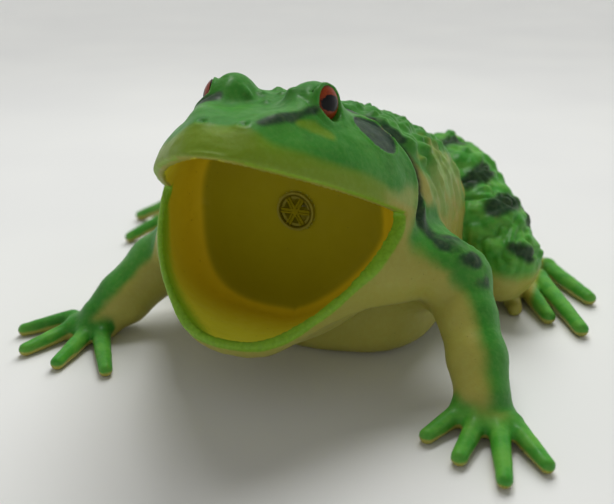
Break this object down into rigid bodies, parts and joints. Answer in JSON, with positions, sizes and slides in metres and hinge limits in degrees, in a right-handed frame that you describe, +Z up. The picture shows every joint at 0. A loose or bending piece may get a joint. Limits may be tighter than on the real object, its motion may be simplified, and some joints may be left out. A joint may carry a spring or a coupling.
{
  "type": "squeeze frog toy",
  "caption": "Hollow soft vinyl squeeze frog, mouth wide open, with a ribbed round reed squeaker set in the back of the mouth and flexible snap-in legs.",
  "frame": {"origin": "middle of the flat belly patch the toy sits on, at ground height", "axes": "+Z up, the frog faces -Y, +X is its left side"},
  "size_m": [0.1836, 0.1323, 0.0742],
  "materials": {
    "vinyl_skin": "satin, green sprayed over cream soft vinyl",
    "mouth_lining": "satin olive yellow",
    "eye_gloss": "gloss clear coat over orange-red",
    "squeaker_plastic": "semi-matt olive",
    "squeaker_inner": "natural off-white",
    "reed_film": "thin translucent film"
  },
  "bodies": {
    "body": {"body_skin": "vinyl_skin", "mouth_pocket": "mouth_lining", "eye_left": "eye_gloss", "eye_right": "eye_gloss", "squeaker_case": "squeaker_plastic", "squeaker_grille": "squeaker_plastic", "reed_tube": "squeaker_inner", "reed_seat": "squeaker_inner", "reed_wedge": "squeaker_inner"},
    "front_leg_left": {"front_leg_left": "vinyl_skin"},
    "front_leg_right": {"front_leg_right": "vinyl_skin"},
    "hind_leg_left": {"hind_leg_left": "vinyl_skin"},
    "hind_leg_right": {"hind_leg_right": "vinyl_skin"},
    "reed": {"reed": "reed_film"}
  },
  "joints": [
    {"name": "shoulder_left", "type": "hinge", "parent": "body", "child": "front_leg_left", "pos_m": [0.0394, -0.018, 0.0255], "axis": [0.9781, -0.2079, 0], "range_deg": [-12, 12], "stiffness_Nm_per_rad": 0.15},
    {"name": "shoulder_right", "type": "hinge", "parent": "body", "child": "front_leg_right", "pos_m": [-0.0394, -0.018, 0.0255], "axis": [0.9781, 0.2079, 0], "range_deg": [-12, 12], "stiffness_Nm_per_rad": 0.15},
    {"name": "hip_left", "type": "hinge", "parent": "body", "child": "hind_leg_left", "pos_m": [0.0342, 0.04, 0.025], "axis": [0.8763, 0.4818, 0], "range_deg": [-10, 10], "stiffness_Nm_per_rad": 0.2},
    {"name": "hip_right", "type": "hinge", "parent": "body", "child": "hind_leg_right", "pos_m": [-0.0342, 0.04, 0.025], "axis": [0.8763, -0.4818, 0], "range_deg": [-10, 10], "stiffness_Nm_per_rad": 0.2},
    {"name": "reed_flap", "type": "hinge", "parent": "body", "child": "reed", "pos_m": [0, -0.0072, 0.037], "axis": [-1, 0, 0], "range_deg": [0, 4], "stiffness_Nm_per_rad": 0.0005}
  ]
}
